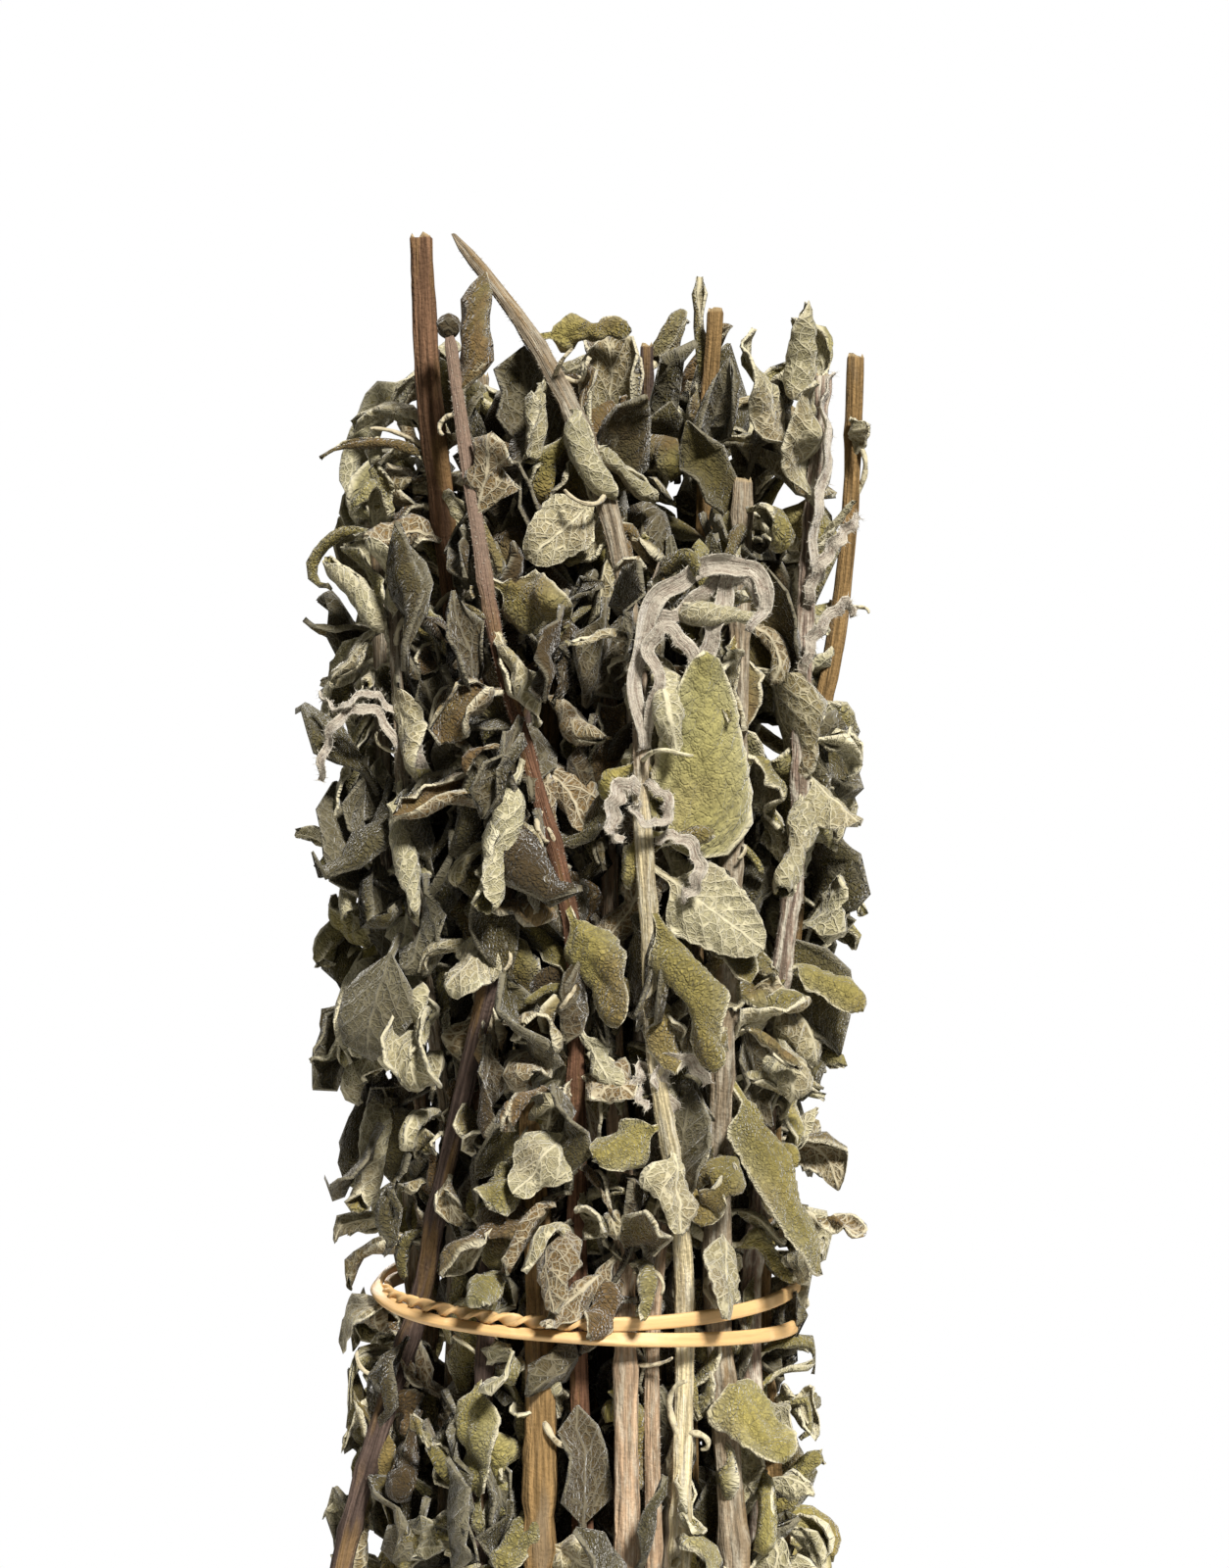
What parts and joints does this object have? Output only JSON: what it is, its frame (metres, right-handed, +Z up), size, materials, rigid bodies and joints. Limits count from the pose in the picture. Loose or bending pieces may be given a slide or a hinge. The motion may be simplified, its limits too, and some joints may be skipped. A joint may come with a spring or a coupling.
{
  "type": "dried sage bunch",
  "caption": "Upright sheaf of dried sage: tall leafy stems with curled, rolled and draped leaves, held at the waist by a doubled rubber band and standing on their cut ends.",
  "frame": {"origin": "middle of the bunch's base, level with the cut ends of the stems that it stands on", "axes": "+Z up along the stems, -Y towards the front of the bunch, +X to the right seen from the front"},
  "size_m": [0.0962, 0.0856, 0.2698],
  "materials": {
    "sage_grey": "matte, woolly grey-green dried leaf",
    "sage_olive": "matte, pebbly olive dried leaf",
    "sage_brown": "matte brown dried leaf and bark",
    "rubber_band": "satin tan latex"
  },
  "bodies": {
    "root": {"stem_tall_cut": "sage_brown", "stem_pointed": "sage_brown", "stem_red": "sage_brown", "stem_pale_front": "sage_grey", "stem_right_front": "sage_grey", "stem_dark_diagonal": "sage_brown", "stem_thick": "sage_olive", "stem_pink": "sage_olive", "stem_thin_pale": "sage_grey", "stem_grey_thick": "sage_olive", "stem_right_low": "sage_olive", "stem_right_splayed": "sage_grey", "stem_ochre_cut": "sage_olive", "stem_left_edge": "sage_grey", "stem_left_pale": "sage_grey", "stem_left_front": "sage_olive", "stem_back_1": "sage_grey", "stem_back_2": "sage_olive", "stem_back_3": "sage_brown", "stem_back_4": "sage_grey", "stem_back_5": "sage_olive", "stem_back_6": "sage_brown", "stem_back_7": "sage_grey", "stem_back_8": "sage_olive", "stem_middle_1": "sage_grey", "stem_middle_2": "sage_olive", "stem_middle_3": "sage_brown", "stem_middle_4": "sage_grey", "stem_heart_1": "sage_grey", "stem_heart_2": "sage_olive", "stem_heart_3": "sage_brown", "rubber_band": "rubber_band"}
  },
  "joints": []
}
